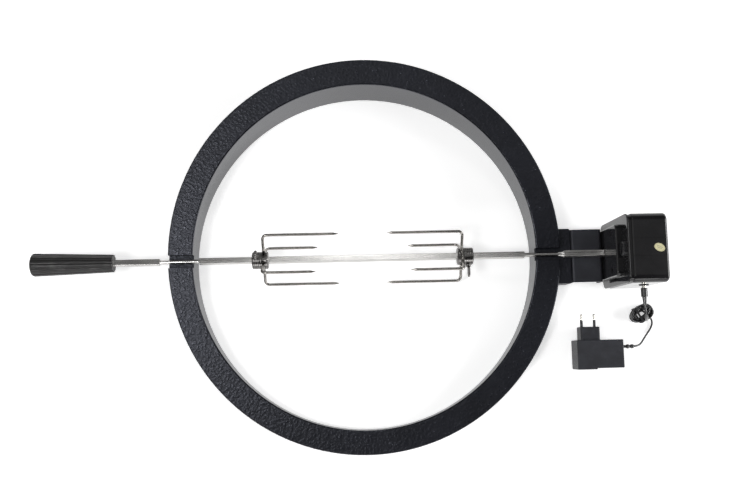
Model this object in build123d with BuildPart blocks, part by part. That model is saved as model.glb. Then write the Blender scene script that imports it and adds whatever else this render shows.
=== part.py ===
from build123d import *
import os
from math import acos, asin, atan2, cos, degrees, pi, radians, sin, tan

# Rotisserie kit for a round charcoal grill, laid flat: a wedge-shaped cast ring that stands on the
# grill's rim, a square spit in two halves across it, two sliding forks, a geared motor on a bracket,
# and its mains adapter.
# Millimetres, +Z up. The origin is at the bottom centre of everything but the lead and the adapter.
# X runs along the spit, from the grip to the motor. Y rises towards the tall side of the ring.

os.makedirs("parts", exist_ok=True)

# ---- driving dimensions --------------------------------------------------------------------------
# Clearances
fit = 0.05              # radial clearance of a running or pressed fit
slide_gap = 0.1         # per side, between the square spit and what slides on it
face_gap = 0.3          # between parts that only pass each other

# Cast ring
ring_r_out = 270.0
ring_band = 34.0
ring_r_in = ring_r_out - ring_band
ring_height = 48.0      # at the spit's axis
ring_slope = 6.9        # degrees, the top face rises towards +Y
ring_wall = 6.0
ring_edge = 1.6
rib_count = 12
rib_width = 6.0
saddle_width = 32.0     # solid metal under each notch
notch_width = 17.5
boss_reach = ring_r_out + 18.0         # from the ring's centre to the face that takes the bracket
boss_width = 77.0
boss_height = 34.0

# Spit
spit_side = 8.0
spit_edge = 0.4
spit_z = 40.5
neck_r = 3.0
neck_in = ring_r_in - 15.0             # the drive side's neck, from the ring's centre
neck_out = ring_r_out + 1.0
cone_len = 5.0
grip_neck_in = ring_r_in - 8.0         # the grip side's neck
grip_neck_out = ring_r_out + 12.0
joint_x = -18.0         # where the two halves screw together
spigot_r = 2.5
spigot_len = 15.0
socket_depth = 26.0

# Grip
grip_len = 111.0
grip_r_end = 16.0
grip_r_rod = 12.2
grip_start = ring_r_out + 75.0         # from the ring's centre to the grip's rod end
flute_count = 12
flute_r = 3.2
flute_depth = 1.0
tang_r = 3.0
tang_len = 58.0
insert_r = 5.0

# Forks
hub_r = 12.0
hub_front = 6.2         # from the wires' plane to the tine side's face
hub_back = 15.6
core_r = 8.4            # floor of the groove that holds the wires
wire_r = 2.0
tine_r = 38.0           # from the spit's axis to each tine
tine_long = 103.5
tine_short = 72.5
tip_len = 7.0
tine_bend = 6.0
base_bend = 5.0
screw_back = 8.9        # from the wires' plane to the wing screw
screw_r = 2.5
wing_reach = 30.0       # from the spit's axis to the wing's end
wing_width = 11.0
wing_thick = 3.2
left_fork_x = -139.4    # wires' planes, from the ring's centre
right_fork_x = 133.5
spit_roll = -13.0       # how far the square bar is turned about its axis, from +Y towards +Z
left_roll = 90.0 + spit_roll           # where the wing screws point, each square to a flat of the bar
right_roll = 180.0 + spit_roll

# Bracket
bracket_width = 74.0
bracket_len = 44.0
bracket_thick = 3.0
bracket_bottom = 6.0
bracket_top = 33.0
bolt_r = 3.0
bolt_pitch = 44.0
bolt_z = 19.0

# Motor housing
hanger_thick = 8.0
hanger_width = 69.0
hanger_top = 99.5
hanger_bottom = 4.0
hanger_screw_pitch = 49.6
hanger_screw_z = 77.0
motor_y = -2.0          # the motor, its bracket and the boss are centred here
housing_width = 91.0
housing_height = 125.0
housing_bottom = 1.0
housing_wall = 2.6
front_depth = 6.0
rear_depth = 47.5
groove_deep = 1.2
flange_thick = 2.0
corner_r = 10.0
top_lines = (10.0, -13.2)

# Gears
module_mm = 1.0
output_teeth = 60
idler_small = 15
idler_large = 45
pinion_teeth = 14
idler_angle = 100.0     # direction from the output wheel's axis to the idler's
pinion_angle = 30.0     # direction from the idler's axis to the pinion's
output_thick = 6.0
idler_thick = 5.0
shaft_r = 2.0
motor_shaft_r = 2.5
socket_r = 8.0
journal_r = 4.0

# Round rocker switch
switch_z = 110.2
switch_r = 9.5
switch_proud = 4.0
rocker_r = 6.3
rocker_tilt = 8.0

# Lead, plug and jack
lead_r = 1.4
jack_z = 74.0
jack_from_rear = 19.0
barrel_r = 2.75
plug_r = 4.5

# Adapter, placed from the ring's centre
adapter_x = ring_r_out + 20.0
adapter_y = -119.3
adapter_len = 64.5
adapter_wide = 38.9
adapter_thick = 35.5
adapter_wall = 2.0
cover_wide = 4.6
pin_block_x = adapter_x + 7.2
pin_block_len = 27.0
pin_block_reach = 18.3
pin_block_thick = 24.0
pin_r = 2.0
pin_pitch = 18.0
pin_len = 18.0
sleeve_len = 9.5
bead_r = 3.1

# ---- positions worked out from them --------------------------------------------------------------
motor_face = boss_reach + bracket_len + hanger_thick
motor_rear = motor_face + front_depth + rear_depth
grip_end = grip_start + grip_len
cx = (grip_end - motor_rear) / 2       # X of the ring's centre
notch_floor = spit_z - neck_r - fit
hanger_face = cx + boss_reach + bracket_len
front_x = cx + motor_face
rear_x = front_x + front_depth
back_x = cx + motor_rear
housing_mid = housing_bottom + housing_height / 2
output_x = rear_x + 4.0                # front face of the output wheel
idler_x = output_x + output_thick + 2.5
plate_x = idler_x + idler_thick + 1.5
plate_thick = 2.0
plate_back = plate_x + plate_thick
spit_axis = Axis((0, 0, spit_z), (1, 0, 0))
upward = (Align.CENTER, Align.CENTER, Align.MIN)   # a solid that stands on its plane


def at_x(x):
    """Plane facing +X at x, whose own axes are Y and Z."""
    return Plane.YZ.offset(x)


def facing(origin, direction):
    return Plane(origin=origin, z_dir=direction)


def save(builder, name):
    builder.part.label = name
    export_step(builder.part, f"parts/{name}.step")


# ---- ring ----------------------------------------------------------------------------------------
tall = ring_height + ring_r_out * tan(radians(ring_slope)) + 5
slope_normal = (0, -sin(radians(ring_slope)), cos(radians(ring_slope)))
top_plane = Plane(origin=(cx, 0, ring_height), z_dir=slope_normal)

with BuildPart() as ring_core:
    with BuildSketch():
        with Locations((cx, 0)):
            Circle(ring_r_out - ring_wall)
            Circle(ring_r_in + ring_wall, mode=Mode.SUBTRACT)
    extrude(amount=tall)
    split(bisect_by=top_plane.offset(-ring_wall), keep=Keep.BOTTOM)
    with BuildSketch():
        with Locations((cx, 0)):
            with PolarLocations((ring_r_in + ring_r_out) / 2, rib_count):
                Rectangle(ring_r_out - ring_r_in, rib_width)
            Rectangle(2 * ring_r_out, saddle_width)
    extrude(amount=tall, mode=Mode.SUBTRACT)

with BuildPart() as ring_boss:
    with BuildSketch():
        with Locations((cx + (ring_r_in + ring_wall + boss_reach) / 2, motor_y)):
            Rectangle(boss_reach - ring_r_in - ring_wall, boss_width)
    extrude(amount=boss_height)
    fillet(ring_boss.faces().sort_by(Axis.X)[-1].edges().filter_by(Axis.Z), 3.0)
    fillet(ring_boss.faces().sort_by(Axis.Z)[-1].edges().sort_by(Axis.X)[1:], 1.2)

with BuildPart() as ring_casting:
    with BuildSketch():
        with Locations((cx, 0)):
            Circle(ring_r_out)
            Circle(ring_r_in, mode=Mode.SUBTRACT)
    extrude(amount=tall)
    split(bisect_by=top_plane, keep=Keep.BOTTOM)
    fillet(ring_casting.faces().sort_by(Axis.Z)[-1].edges(), ring_edge)
    add(ring_core.part, mode=Mode.SUBTRACT)
    add(ring_boss.part)
    with BuildSketch(Plane.XY.offset(notch_floor)):
        with Locations((cx, 0)):
            Rectangle(2 * ring_r_out + 10, notch_width)
    extrude(amount=tall, mode=Mode.SUBTRACT)
    for side in (-1, 1):
        with Locations(facing((cx + boss_reach, motor_y + side * bolt_pitch / 2, bolt_z), (-1, 0, 0))):
            Cylinder(bolt_r + fit, 17, align=upward, mode=Mode.SUBTRACT)
save(ring_casting, "ring_casting")

# ---- bracket -------------------------------------------------------------------------------------
bracket_x = cx + boss_reach
with BuildPart() as motor_bracket:
    with BuildSketch(Plane.XZ.offset(-motor_y)):
        with Locations((bracket_x + bracket_len / 2, (bracket_bottom + bracket_top) / 2)):
            bent = Rectangle(bracket_len, bracket_top - bracket_bottom)
        fillet(bent.vertices().group_by(Axis.Y)[-1], 4.5)
    extrude(amount=bracket_width / 2, both=True)
    with BuildSketch(Plane.XZ.offset(-motor_y)):
        with Locations((bracket_x + bracket_len / 2, (bracket_bottom + bracket_top) / 2 - bracket_thick)):
            gap = Rectangle(bracket_len - 2 * bracket_thick, bracket_top - bracket_bottom)
        fillet(gap.vertices().group_by(Axis.Y)[-1], 1.5)
    extrude(amount=bracket_width, both=True, mode=Mode.SUBTRACT)
    for side in (-1, 1):
        with Locations(facing((bracket_x, motor_y + side * bolt_pitch / 2, bolt_z), (1, 0, 0))):
            Cylinder(bolt_r + 0.2, 2 * bracket_thick + 1, mode=Mode.SUBTRACT)
save(motor_bracket, "motor_bracket")

washer_thick = 1.6
bolt_len = 16.0
with BuildPart() as bracket_washers:
    for side in (-1, 1):
        with BuildSketch(at_x(bracket_x + bracket_thick)):
            with Locations((motor_y + side * bolt_pitch / 2, bolt_z)):
                Circle(6.0)
                Circle(bolt_r + 0.2, mode=Mode.SUBTRACT)
        extrude(amount=washer_thick)
save(bracket_washers, "bracket_washers")

with BuildPart() as bracket_bolts:
    head_x = bracket_x + bracket_thick + washer_thick
    for side in (-1, 1):
        with BuildSketch(at_x(head_x)):
            with Locations((motor_y + side * bolt_pitch / 2, bolt_z)):
                RegularPolygon(5.0, 6, major_radius=False)
        extrude(amount=4.0)
        with BuildSketch(at_x(head_x)):
            with Locations((motor_y + side * bolt_pitch / 2, bolt_z)):
                Circle(bolt_r)
        extrude(amount=-(bracket_thick + washer_thick + bolt_len))
save(bracket_bolts, "bracket_bolts")


# ---- spit ----------------------------------------------------------------------------------------
def square_run(start, end):
    """A length of the square bar, with its long edges eased."""
    with BuildSketch(at_x(cx + start)) as section:
        with Locations((0, spit_z)):
            bar = Rectangle(spit_side, spit_side, rotation=spit_roll)
        fillet(bar.vertices(), spit_edge)
    extrude(section.sketch, amount=end - start)


def round_run(start, end, radius):
    with BuildSketch(at_x(cx + start)) as section:
        with Locations((0, spit_z)):
            Circle(radius)
    extrude(section.sketch, amount=end - start)


socket_mouth = motor_face - hanger_thick + 1.0
drive_end = socket_mouth + socket_depth - 1.0
with BuildPart() as spit_drive_half:
    square_run(joint_x, neck_in)
    round_run(neck_in, neck_out, neck_r)
    with Locations(facing((cx + neck_out, 0, spit_z), (1, 0, 0))):
        Cone(neck_r, spit_side / 2, cone_len, align=upward)
    square_run(neck_out + cone_len, drive_end)
    chamfer(spit_drive_half.faces().sort_by(Axis.X)[-1].edges(), 0.75 * spit_edge)
    with Locations(facing((cx + joint_x, 0, spit_z), (1, 0, 0))):
        Cylinder(spigot_r + fit, spigot_len + 1, align=upward, mode=Mode.SUBTRACT)
save(spit_drive_half, "spit_drive_half")

with BuildPart() as spit_grip_half:
    square_run(-grip_start, -grip_neck_out)
    round_run(-grip_neck_out, -grip_neck_in, neck_r)
    square_run(-grip_neck_in, joint_x)
    round_run(-grip_start - tang_len, -grip_start, tang_r)
    round_run(joint_x, joint_x + spigot_len, spigot_r)
    chamfer(spit_grip_half.faces().sort_by(Axis.X)[-1].edges(), 0.6)
save(spit_grip_half, "spit_grip_half")

insert_len = tang_len + 2.0
with BuildPart() as grip_insert:
    round_run(-grip_start - insert_len, -grip_start, insert_r)
    with Locations(facing((cx - grip_start, 0, spit_z), (-1, 0, 0))):
        Cylinder(tang_r + fit, tang_len + 1, align=upward, mode=Mode.SUBTRACT)
save(grip_insert, "grip_insert")

grip_taper = degrees(asin((grip_r_end - grip_r_rod) / grip_len))
with BuildPart() as flute_cutter:
    mid_r = (grip_r_end + grip_r_rod) / 2 + flute_r - flute_depth
    with Locations(Location((cx - grip_start - grip_len / 2, 0, spit_z + mid_r), (0, 90 + grip_taper, 0))):
        Cylinder(flute_r, grip_len * 1.3)

with BuildPart() as handle_grip:
    with BuildSketch(Plane.XZ):
        with BuildLine():
            Polyline(
                (cx - grip_start, spit_z),
                (cx - grip_start, spit_z + grip_r_rod),
                (cx - grip_end, spit_z + grip_r_end),
                (cx - grip_end, spit_z),
                close=True,
            )
        make_face()
    revolve(axis=spit_axis)
    for turn in range(flute_count):
        add(flute_cutter.part.rotate(spit_axis, 360 / flute_count * turn), mode=Mode.SUBTRACT)
    with BuildSketch(Plane.XZ):
        with BuildLine():
            Polyline(
                (cx - grip_start, spit_z),
                (cx - grip_start, spit_z + grip_r_rod),
                (cx - grip_end, spit_z + grip_r_end),
                (cx - grip_end, spit_z),
                close=True,
            )
        outline = make_face()
        rod_corner, end_corner = outline.vertices().sort_by(Axis.Y)[-2:]
        fillet(end_corner, 4.0)
        fillet(rod_corner, 3.0)
    revolve(axis=spit_axis, mode=Mode.INTERSECT)
    with Locations(facing((cx - grip_start, 0, spit_z), (-1, 0, 0))):
        Cylinder(insert_r + fit, insert_len + fit, align=upward,
                 mode=Mode.SUBTRACT)
save(handle_grip, "handle_grip")


# ---- forks ---------------------------------------------------------------------------------------
def on_fork(plane_x, toward, along, radius, angle):
    """A point of a fork: along the tines from the wires' plane, out from the axis, at an angle about it."""
    return (
        cx + plane_x + toward * along,
        radius * cos(radians(angle)),
        spit_z + radius * sin(radians(angle)),
    )


def fork(side, plane_x, toward, roll):
    """One fork: a grooved hub, two bent wires of one long and one short tine each, and a wing screw."""
    back = on_fork(plane_x, toward, -hub_back, 0, 0)
    screw_dir = (0, cos(radians(roll)), sin(radians(roll)))
    screw_root = on_fork(plane_x, toward, -screw_back, 0, 0)
    with BuildPart() as hub:
        with Locations(facing(back, (toward, 0, 0))):
            Cylinder(hub_r, hub_back + hub_front, align=upward)
        chamfer(hub.edges().filter_by(GeomType.CIRCLE), 1.0)
        with BuildSketch(at_x(cx + plane_x - wire_r - slide_gap)):
            with Locations((0, spit_z)):
                Circle(hub_r + 1)
                Circle(core_r, mode=Mode.SUBTRACT)
        extrude(amount=2 * (wire_r + slide_gap), mode=Mode.SUBTRACT)
        with BuildSketch(at_x(cx + plane_x)):
            with Locations((0, spit_z)):
                Rectangle(spit_side + 2 * slide_gap, spit_side + 2 * slide_gap, rotation=spit_roll)
        extrude(amount=2 * hub_back, both=True, mode=Mode.SUBTRACT)
        with Locations(facing(screw_root, screw_dir)):
            Cylinder(screw_r + fit, hub_r + 2, align=upward, mode=Mode.SUBTRACT)
    save(hub, f"{side}_fork_hub")

    base_r = (core_r + wire_r + fit) / cos(radians(45))
    for letter, first in (("a", roll - toward * 45), ("b", roll - toward * 45 + 180)):
        second = first - toward * 90
        route = [
            on_fork(plane_x, toward, tine_long - tip_len, tine_r, first),
            on_fork(plane_x, toward, 0, tine_r, first),
            on_fork(plane_x, toward, 0, base_r, first),
            on_fork(plane_x, toward, 0, base_r, second),
            on_fork(plane_x, toward, 0, tine_r, second),
            on_fork(plane_x, toward, tine_short - tip_len, tine_r, second),
        ]
        with BuildPart() as wire:
            with BuildLine() as path:
                FilletPolyline(*route, radius=[tine_bend, base_bend, base_bend, tine_bend])
            with BuildSketch(Plane(origin=path.line @ 0, z_dir=path.line % 0)):
                Circle(wire_r)
            sweep(path=path.line)
            for tip in (route[0], route[-1]):
                with Locations(facing(tip, (toward, 0, 0))):
                    Cone(wire_r, 0.3, tip_len, align=upward)
        save(wire, f"{side}_fork_wire_{letter}")

    def out(distance):
        return tuple(root + distance * d for root, d in zip(screw_root, screw_dir))

    wing_bottom = hub_r + 2.2
    wing_plane = Plane(origin=out((wing_bottom + wing_reach) / 2), x_dir=screw_dir, z_dir=(1, 0, 0))
    with BuildPart() as wing:
        with BuildSketch(wing_plane):
            RectangleRounded(wing_reach - wing_bottom, wing_width, 5.0)
        extrude(amount=wing_thick / 2, both=True)
        fillet(wing.faces().filter_by(Axis.X).edges(), 0.9)

    with BuildPart() as wing_screw:
        with Locations(facing(out(spit_side / 2 + slide_gap), screw_dir)):
            Cylinder(screw_r, 12, align=upward)
        with Locations(facing(out(hub_r + face_gap), screw_dir)):
            Cone(4.2, 3.0, 3.2, align=upward)
        add(wing.part)
    save(wing_screw, f"{side}_wing_screw")


fork("left", left_fork_x, 1, left_roll)
fork("right", right_fork_x, -1, right_roll)


# ---- motor housing -------------------------------------------------------------------------------
def housing_outline(inset):
    """The housing's section, drawn on a plane that faces +X."""
    with Locations((motor_y, housing_mid)):
        RectangleRounded(housing_width - 2 * inset, housing_height - 2 * inset, corner_r - inset)


post_r = 4.0
post_inset = corner_r - (corner_r - housing_wall - post_r - face_gap) / 2**0.5
post_split = front_x + 18.0
post_places = [
    (motor_y + sy * (housing_width / 2 - post_inset), housing_mid + sz * (housing_height / 2 - post_inset))
    for sy in (-1, 1)
    for sz in (-1, 1)
]
plate_left = motor_y - housing_width / 2 + 9.5
plate_right = motor_y + housing_width / 2 - 4.5
plate_low = housing_bottom + 23.0
plate_high = housing_bottom + housing_height - 5.0
plate_cut = 13.0
pillar_r = 3.0
pillar_places = [
    (plate_left + 4.0, plate_low + 6.0),
    (plate_right - 5.0, plate_low + 6.0),
    (plate_left + 4.0, plate_high - 20.0),
    (plate_right - 3.5, plate_high - 57.0),
]
idler_y = module_mm * (output_teeth + idler_small) / 2 * cos(radians(idler_angle))
idler_z = spit_z + module_mm * (output_teeth + idler_small) / 2 * sin(radians(idler_angle))
pinion_y = idler_y + module_mm * (idler_large + pinion_teeth) / 2 * cos(radians(pinion_angle))
pinion_z = idler_z + module_mm * (idler_large + pinion_teeth) / 2 * sin(radians(pinion_angle))
bush_r = 10.0
rear_bush_r = 6.0
hanger_screw_places = [(motor_y + s * hanger_screw_pitch / 2, hanger_screw_z) for s in (-1, 1)]
skin = 3.0              # thickness of the front shell's face
switch_body_r = 8.0

with BuildPart() as front_shell:
    with BuildSketch(at_x(front_x)):
        housing_outline(0)
    extrude(amount=flange_thick)
    fillet(front_shell.edges(), 0.8)
    with BuildSketch(at_x(front_x + flange_thick)):
        housing_outline(groove_deep)
    extrude(amount=front_depth - flange_thick)
    with BuildSketch(at_x(front_x + skin)):
        housing_outline(housing_wall)
    extrude(amount=front_depth, mode=Mode.SUBTRACT)
    with BuildSketch(at_x(front_x + skin)):
        with Locations(*post_places):
            Circle(post_r)
    extrude(amount=post_split - front_x - skin)
    with BuildSketch(at_x(front_x + skin)):
        with Locations(*pillar_places):
            Circle(pillar_r)
    extrude(amount=plate_x - front_x - skin)
    with BuildSketch(at_x(front_x + skin)):
        with Locations((0, spit_z)):
            Circle(bush_r + 3)
        with Locations((idler_y, idler_z)):
            Circle(5)
        with Locations(*hanger_screw_places):
            Circle(4)
    extrude(amount=5)
    with BuildSketch(at_x(front_x)):
        with Locations((0, spit_z)):
            Circle(bush_r + fit)
        with Locations((motor_y, switch_z)):
            Circle(switch_body_r + fit)
    extrude(amount=8, mode=Mode.SUBTRACT)
    with BuildSketch(at_x(front_x)):
        with Locations(*hanger_screw_places):
            Circle(1.5 + fit)
    extrude(amount=7, mode=Mode.SUBTRACT)
    with BuildSketch(at_x(front_x + skin)):
        with Locations((idler_y, idler_z)):
            Circle(shaft_r + fit)
    extrude(amount=5, mode=Mode.SUBTRACT)
    with BuildSketch(at_x(post_split)):
        with Locations(*post_places):
            Circle(1.5 + fit)
    extrude(amount=-12, mode=Mode.SUBTRACT)
    with BuildSketch(at_x(plate_x)):
        with Locations(*pillar_places):
            Circle(1.25 + fit)
    extrude(amount=-9, mode=Mode.SUBTRACT)
save(front_shell, "front_shell")

jack_x = back_x - jack_from_rear
side_y = motor_y - housing_width / 2
jack_body_r = 5.4
with BuildPart() as rear_shell:
    with BuildSketch(at_x(rear_x)):
        housing_outline(0)
    extrude(amount=rear_depth)
    fillet(rear_shell.faces().sort_by(Axis.X)[-1].edges(), 4.5)
    fillet(rear_shell.faces().sort_by(Axis.X)[0].edges(), 2.2)
    with BuildSketch(at_x(rear_x)):
        housing_outline(housing_wall)
    extrude(amount=rear_depth - housing_wall, mode=Mode.SUBTRACT)
    with BuildSketch(at_x(post_split)):
        with Locations(*post_places):
            Circle(post_r)
    extrude(amount=back_x - housing_wall - post_split)
    with BuildSketch(at_x(post_split)):
        with Locations(*post_places):
            Circle(1.7)
    extrude(amount=rear_depth, mode=Mode.SUBTRACT)
    with BuildSketch(at_x(back_x)):
        with Locations(*post_places):
            Circle(3.3)
    extrude(amount=-3, mode=Mode.SUBTRACT)
    with Locations(facing((jack_x, side_y, jack_z), (0, 1, 0))):
        Cylinder(jack_body_r + fit, 12, mode=Mode.SUBTRACT)
    for line_y in top_lines:
        with BuildSketch(Plane.XY.offset(housing_bottom + housing_height)):
            with Locations(((rear_x + back_x) / 2, line_y)):
                Rectangle(rear_depth, 0.6)
        extrude(amount=-0.5, mode=Mode.SUBTRACT)
save(rear_shell, "rear_shell")

with BuildPart() as housing_screws:
    with BuildSketch(at_x(back_x - 3)):
        with Locations(*post_places):
            Circle(2.9)
    extrude(amount=2.2)
    with BuildSketch(at_x(back_x - 3)):
        with Locations(*post_places):
            Circle(1.5)
    extrude(amount=-(back_x - 3 - post_split + 10))
    for place_y, place_z in post_places:
        with Locations(Location((back_x - 0.8, place_y, place_z))):
            Box(1.8, 3.4, 0.7, mode=Mode.SUBTRACT)
            Box(1.8, 0.7, 3.4, mode=Mode.SUBTRACT)
save(housing_screws, "housing_screws")

with BuildPart() as hanger_plate:
    with BuildSketch(at_x(hanger_face)):
        with Locations((motor_y, (hanger_bottom + hanger_top) / 2)):
            RectangleRounded(hanger_width, hanger_top - hanger_bottom, 6.0)
    extrude(amount=hanger_thick)
    fillet(hanger_plate.faces().sort_by(Axis.X)[0].edges(), 1.8)
    with BuildSketch(at_x(hanger_face)):
        with Locations((0, spit_z)):
            Circle(socket_r + 1.0)
        with Locations(*hanger_screw_places):
            Circle(1.8)
    extrude(amount=hanger_thick, mode=Mode.SUBTRACT)
    with BuildSketch(at_x(hanger_face)):
        with Locations(*hanger_screw_places):
            Circle(3.6)
    extrude(amount=2.4, mode=Mode.SUBTRACT)
save(hanger_plate, "hanger_plate")

with BuildPart() as hanger_screws:
    with BuildSketch(at_x(hanger_face + 2.4)):
        with Locations(*hanger_screw_places):
            Circle(3.3)
    extrude(amount=-2.0)
    with BuildSketch(at_x(hanger_face + 2.4)):
        with Locations(*hanger_screw_places):
            Circle(1.5)
    extrude(amount=hanger_thick - 2.4 + 6.5)
    for place_y, place_z in hanger_screw_places:
        with Locations(Location((hanger_face + 0.4, place_y, place_z), (45, 0, 0))):
            Box(2.0, 4.0, 0.9, mode=Mode.SUBTRACT)
            Box(2.0, 0.9, 4.0, mode=Mode.SUBTRACT)
save(hanger_screws, "hanger_screws")

with BuildPart() as inspection_sticker:
    with BuildSketch(Plane.XY.offset(housing_bottom + housing_height)):
        with Locations(Location((back_x - 12.5, motor_y - 0.7, 0), (0, 0, -25))):
            Ellipse(7.2, 5.1)
    extrude(amount=0.15)
save(inspection_sticker, "inspection_sticker")


# ---- drive train ---------------------------------------------------------------------------------
def tooth_half_angle(teeth, radius):
    """Half of a tooth's angle at a radius, on an involute flank with a little backlash."""
    pitch_r = module_mm * teeth / 2
    base_r = pitch_r * cos(radians(20))
    thinning = 0.12 / (2 * pitch_r)
    at_pitch = pi / (2 * teeth) - thinning + tan(radians(20)) - radians(20)
    pressure = acos(min(1.0, base_r / radius))
    return at_pitch - (tan(pressure) - pressure)


def gear_face(teeth, phase, centre):
    """An involute wheel's outline, with a tooth centred at phase, in degrees."""
    pitch_r = module_mm * teeth / 2
    root_r = pitch_r - 1.25 * module_mm
    tip_r = pitch_r + 0.9 * module_mm
    flank_r = [max(root_r, pitch_r * cos(radians(20)) + 0.01)]
    flank_r += [flank_r[0] + (tip_r - flank_r[0]) * share for share in (0.35, 0.7, 1.0)]

    def spot(radius, angle):
        return (centre[0] + radius * cos(angle), centre[1] + radius * sin(angle))

    with BuildLine() as outline:
        for tooth in range(teeth):
            mid = radians(phase) + 2 * pi * tooth / teeth
            after = mid + 2 * pi / teeth
            halves = [tooth_half_angle(teeth, r) for r in flank_r]
            rise = [spot(r, mid - h) for r, h in zip(flank_r, halves)]
            fall = [spot(r, mid + h) for r, h in zip(reversed(flank_r), reversed(halves))]
            Spline(*rise)
            ThreePointArc(rise[-1], spot(tip_r, mid), fall[0])
            Spline(*fall)
            if flank_r[0] > root_r:
                Line(spot(root_r, mid - halves[0]), rise[0])
                Line(fall[-1], spot(root_r, mid + halves[0]))
            ThreePointArc(
                spot(root_r, mid + halves[0]),
                spot(root_r, (mid + after) / 2),
                spot(root_r, after - halves[0]),
            )
    make_face(outline.line)


socket_x = cx + socket_mouth
with BuildPart() as drive_socket:
    with Locations(facing((socket_x, 0, spit_z), (1, 0, 0))):
        Cylinder(socket_r, idler_x - 1.0 - socket_x, align=upward)
    chamfer(drive_socket.faces().sort_by(Axis.X)[0].edges(), 0.8)
    with Locations(facing((idler_x - 1.0, 0, spit_z), (1, 0, 0))):
        Cylinder(journal_r, plate_back + 2 - idler_x + 1.0, align=upward)
    with BuildSketch(at_x(socket_x)):
        with Locations((0, spit_z)):
            Rectangle(spit_side + 4 * slide_gap, spit_side + 4 * slide_gap, rotation=spit_roll)
    extrude(amount=socket_depth, mode=Mode.SUBTRACT)
save(drive_socket, "drive_socket")

with BuildPart() as output_wheel:
    with BuildSketch(at_x(output_x)):
        gear_face(output_teeth, idler_angle, (0, spit_z))
        with Locations((0, spit_z)):
            Circle(socket_r + fit, mode=Mode.SUBTRACT)
            with PolarLocations(19.0, 6):
                Circle(4.5, mode=Mode.SUBTRACT)
    extrude(amount=output_thick)
save(output_wheel, "output_wheel")

with BuildPart() as front_bush:
    with BuildSketch(at_x(front_x)):
        with Locations((0, spit_z)):
            Circle(bush_r)
            Circle(socket_r + fit, mode=Mode.SUBTRACT)
    extrude(amount=8)
save(front_bush, "front_bush")

with BuildPart() as rear_bush:
    with BuildSketch(at_x(plate_x - 1)):
        with Locations((0, spit_z)):
            Circle(rear_bush_r)
            Circle(journal_r + fit, mode=Mode.SUBTRACT)
    extrude(amount=plate_thick + 2)
save(rear_bush, "rear_bush")

with BuildPart() as reduction_gear:
    with BuildSketch(at_x(output_x - 0.5)):
        gear_face(idler_small, idler_angle + 180 + 180 / idler_small, (idler_y, idler_z))
    extrude(amount=idler_x - output_x + 0.5)
    with BuildSketch(at_x(idler_x)):
        gear_face(idler_large, pinion_angle, (idler_y, idler_z))
        with Locations((idler_y, idler_z)):
            with PolarLocations(14.5, 6):
                Circle(3.4, mode=Mode.SUBTRACT)
    extrude(amount=idler_thick)
    with BuildSketch(at_x(output_x - 1)):
        with Locations((idler_y, idler_z)):
            Circle(shaft_r + fit)
    extrude(amount=plate_x - output_x, mode=Mode.SUBTRACT)
save(reduction_gear, "reduction_gear")

with BuildPart() as gear_arbor:
    with BuildSketch(at_x(front_x + skin)):
        with Locations((idler_y, idler_z)):
            Circle(shaft_r)
    extrude(amount=plate_back + 1 - front_x - skin)
save(gear_arbor, "gear_arbor")

with BuildPart() as motor_shaft:
    with BuildSketch(at_x(idler_x - 1.5)):
        with Locations((pinion_y, pinion_z)):
            Circle(motor_shaft_r)
    extrude(amount=plate_back + 5 - idler_x + 1.5)
save(motor_shaft, "motor_shaft")

with BuildPart() as motor_pinion:
    with BuildSketch(at_x(idler_x)):
        gear_face(pinion_teeth, pinion_angle + 180 + 180 / pinion_teeth, (pinion_y, pinion_z))
        with Locations((pinion_y, pinion_z)):
            Circle(motor_shaft_r + fit, mode=Mode.SUBTRACT)
    extrude(amount=idler_thick)
save(motor_pinion, "motor_pinion")

motor_can_r = 21.0
ear_reach = 25.0
ear_places = [(pinion_y, pinion_z + ear_reach), (pinion_y, pinion_z - ear_reach)]
with BuildPart() as gear_motor:
    with BuildSketch(at_x(plate_back)):
        with Locations((pinion_y, pinion_z)):
            SlotOverall(2 * ear_reach + 9, 9, rotation=90)
    extrude(amount=2)
    with BuildSketch(at_x(plate_back)):
        with Locations((pinion_y, pinion_z)):
            Circle(motor_can_r)
    extrude(amount=20)
    fillet(gear_motor.faces().sort_by(Axis.X)[-1].edges(), 1.5)
    with BuildSketch(at_x(plate_back)):
        with Locations((pinion_y, pinion_z)):
            Circle(motor_shaft_r + fit)
    extrude(amount=6, mode=Mode.SUBTRACT)
    with BuildSketch(at_x(plate_back)):
        with Locations(*ear_places):
            Circle(1.6)
    extrude(amount=2, mode=Mode.SUBTRACT)
save(gear_motor, "gear_motor")

with BuildPart() as motor_screws:
    with BuildSketch(at_x(plate_back + 2)):
        with Locations(*ear_places):
            Circle(2.8)
    extrude(amount=2)
    with BuildSketch(at_x(plate_back + 2)):
        with Locations(*ear_places):
            Circle(1.5)
    extrude(amount=-(2 + plate_thick))
save(motor_screws, "motor_screws")

with BuildPart() as gearbox_plate:
    with BuildSketch(at_x(plate_x)):
        with BuildLine():
            Polyline(
                (plate_left, plate_low),
                (plate_right, plate_low),
                (plate_right, plate_high - plate_cut),
                (plate_right - plate_cut, plate_high),
                (plate_left + plate_cut, plate_high),
                (plate_left, plate_high - plate_cut),
                close=True,
            )
        make_face()
        with Locations((0, spit_z)):
            Circle(rear_bush_r + fit, mode=Mode.SUBTRACT)
        with Locations((idler_y, idler_z)):
            Circle(shaft_r + fit, mode=Mode.SUBTRACT)
        with Locations((pinion_y, pinion_z)):
            Circle(motor_shaft_r + 1.5, mode=Mode.SUBTRACT)
        with Locations(*ear_places):
            Circle(1.5 + fit, mode=Mode.SUBTRACT)
        with Locations(*pillar_places):
            Circle(1.5, mode=Mode.SUBTRACT)
    extrude(amount=plate_thick)
save(gearbox_plate, "gearbox_plate")

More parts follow.
